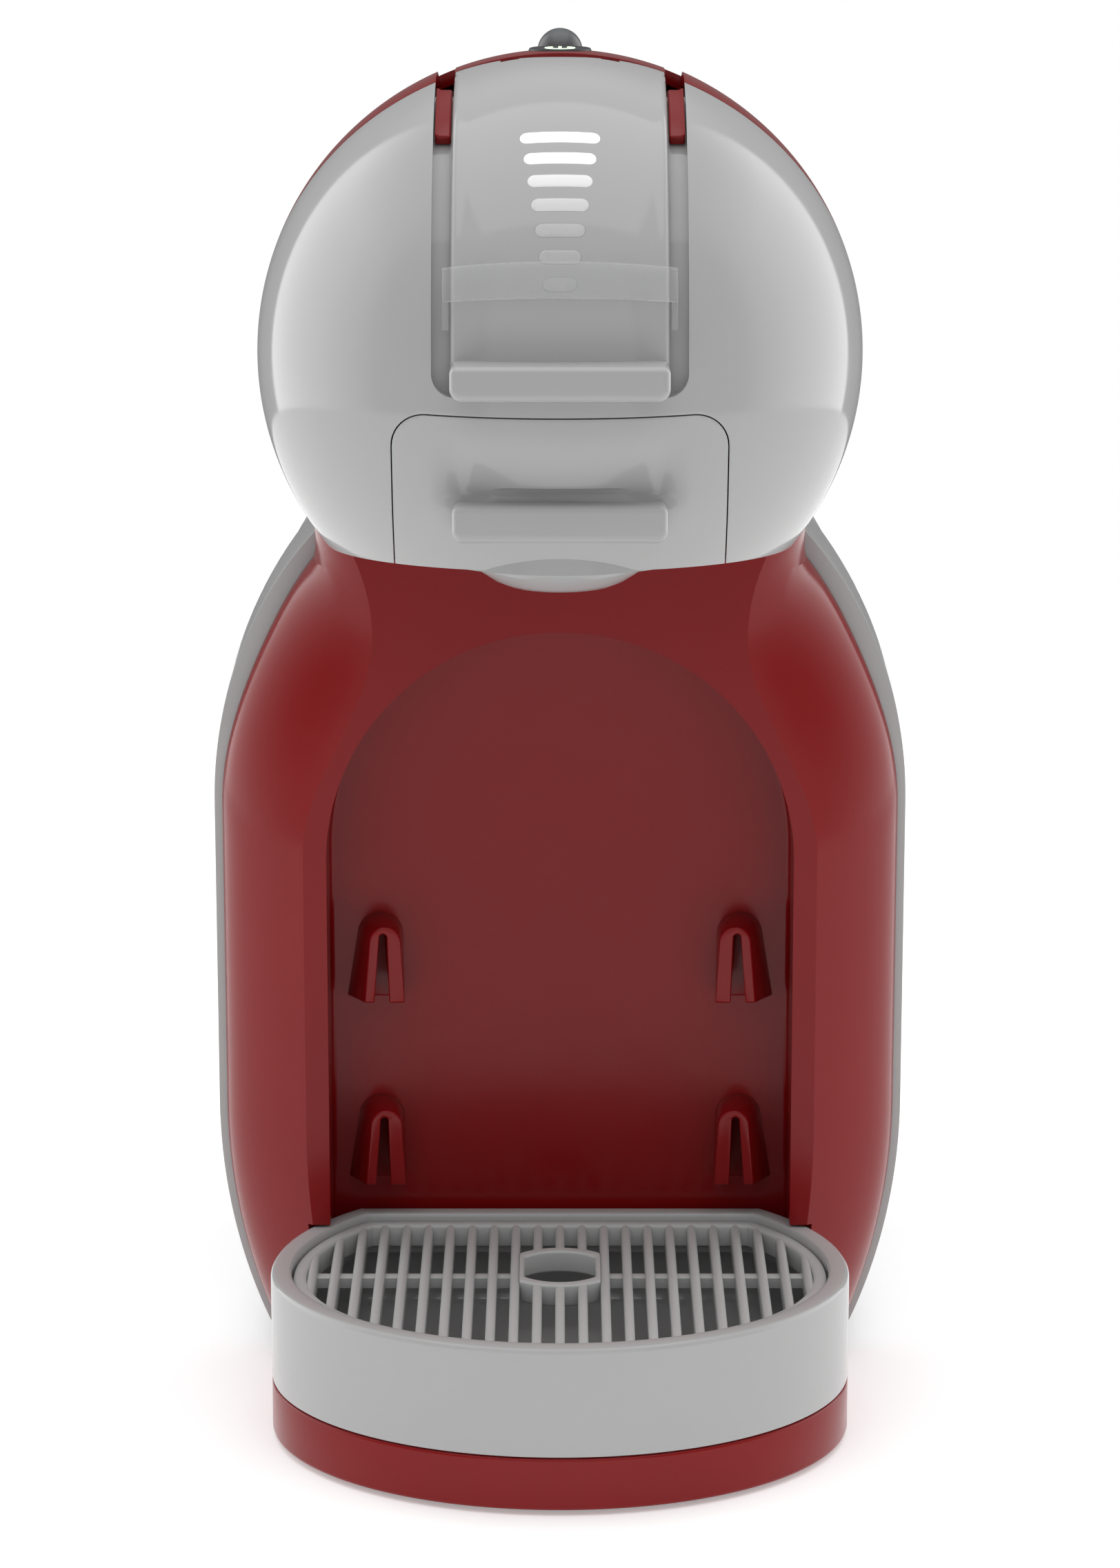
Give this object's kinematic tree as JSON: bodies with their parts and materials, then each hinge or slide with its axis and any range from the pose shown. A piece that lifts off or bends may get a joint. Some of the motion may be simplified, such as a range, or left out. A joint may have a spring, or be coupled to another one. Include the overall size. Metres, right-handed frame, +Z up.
{
  "type": "pod coffee machine",
  "caption": "Compact capsule coffee machine with a ball-shaped head, lift-up handle, capsule drawer, arched cup bay, slotted drip tray and rear water tank.",
  "frame": {"origin": "on the surface that the machine stands on, under the middle of its outline", "axes": "+X to the right of someone facing the cup bay, +Y to the rear, +Z up"},
  "size_m": [0.1594, 0.24, 0.305],
  "materials": {
    "red_gloss": "gloss, injection moulded",
    "grey_gloss": "gloss, injection moulded",
    "dark_plastic": "fine grain",
    "ball_grey": "satin",
    "light_window": "diffusing light guide",
    "clear_plastic": "clear polished",
    "smoke_clear": "clear, lightly smoked",
    "rubber_black": "matte",
    "steel": "brushed",
    "inner_plastic": "moulded, unpainted",
    "copper_coil": "wound wire",
    "heater_metal": "cast",
    "board_green": "coated laminate",
    "silicone_hose": "translucent silicone"
  },
  "bodies": {
    "machine": {"base_band": "red_gloss", "base_plate": "dark_plastic", "bay_liner": "red_gloss", "board_filter": "inner_plastic", "board_post_1": "inner_plastic", "board_post_2": "inner_plastic", "board_post_3": "inner_plastic", "board_post_4": "inner_plastic", "board_relay": "inner_plastic", "body_front_shell": "red_gloss", "chassis": "inner_plastic", "chassis_screw_left": "steel", "chassis_screw_right": "steel", "control_board": "board_green", "cord_gland": "dark_plastic", "drawer_rail_left": "inner_plastic", "drawer_rail_right": "inner_plastic", "flow_meter": "inner_plastic", "foot_1": "rubber_black", "foot_2": "rubber_black", "foot_3": "rubber_black", "foot_4": "rubber_black", "handle_pin": "steel", "head_bridge": "red_gloss", "head_channel": "grey_gloss", "head_collar": "red_gloss", "head_frame": "inner_plastic", "head_front": "grey_gloss", "heater": "heater_metal", "heater_strap": "steel", "hose_injector": "silicone_hose", "hose_pump": "silicone_hose", "pump": "inner_plastic", "pump_coil": "copper_coil", "pump_mount": "rubber_black", "rear_shell": "grey_gloss", "selector_bracket": "inner_plastic", "selector_gate": "dark_plastic", "selector_pin": "steel", "tank_dock": "dark_plastic", "tank_plinth": "grey_gloss", "thermostat_lower": "inner_plastic", "thermostat_upper": "inner_plastic"},
    "handle": {"handle_cover": "grey_gloss", "light_bars": "light_window"},
    "slider": {"volume_slider": "clear_plastic"},
    "button": {"power_button": "dark_plastic"},
    "selector": {"selector_lever": "ball_grey"},
    "injector": {"injector_plate": "inner_plastic", "injector_needle": "steel", "injector_seal": "rubber_black"},
    "drawer": {"capsule_drawer": "grey_gloss"},
    "tray": {"drip_tray": "grey_gloss"},
    "grid": {"drip_grid": "grey_gloss"},
    "tank": {"water_tank": "smoke_clear"},
    "lid": {"tank_lid": "grey_gloss"},
    "valve": {"tank_valve": "rubber_black"}
  },
  "joints": [
    {"name": "handle_open", "type": "hinge", "parent": "machine", "child": "handle", "pos_m": [0, -0.046, 0.2973], "axis": [-1, 0, 0], "range_deg": [0, 60]},
    {"name": "volume_slide", "type": "hinge", "parent": "handle", "child": "slider", "pos_m": [0, -0.035, 0.2368], "axis": [-1, 0, 0], "range_deg": [0, 29.5]},
    {"name": "power_press", "type": "slide", "parent": "machine", "child": "button", "axis": [0, 0, -1], "range_m": [0, 0.0008], "stiffness_N_per_m": 900},
    {"name": "selector_tilt", "type": "hinge", "parent": "machine", "child": "selector", "pos_m": [0, -0.008, 0.274], "axis": [0, 1, 0], "range_deg": [-14, 14], "stiffness_Nm_per_rad": 0.05},
    {"name": "injector_lift", "type": "slide", "parent": "machine", "child": "injector", "axis": [0, 0, 1], "range_m": [0, 0.008]},
    {"name": "drawer_pull", "type": "slide", "parent": "machine", "child": "drawer", "axis": [0, -1, 0], "range_m": [0, 0.075]},
    {"name": "tray_pull", "type": "slide", "parent": "machine", "child": "tray", "axis": [0, -1, 0], "range_m": [0, 0.09]},
    {"name": "grid_lift", "type": "slide", "parent": "tray", "child": "grid", "axis": [0, 0, 1], "range_m": [0, 0.009]},
    {"name": "tank_lift", "type": "slide", "parent": "machine", "child": "tank", "axis": [0, 0, 1], "range_m": [0, 0.06]},
    {"name": "lid_lift", "type": "slide", "parent": "tank", "child": "lid", "axis": [0, 0, 1], "range_m": [0, 0.03]},
    {"name": "valve_press", "type": "slide", "parent": "tank", "child": "valve", "axis": [0, 0, 1], "range_m": [0, 0.002], "stiffness_N_per_m": 300}
  ],
  "couplings": [
    {"joint": "injector_lift", "follows": "handle_open", "m_per_rad": 0.0076}
  ]
}
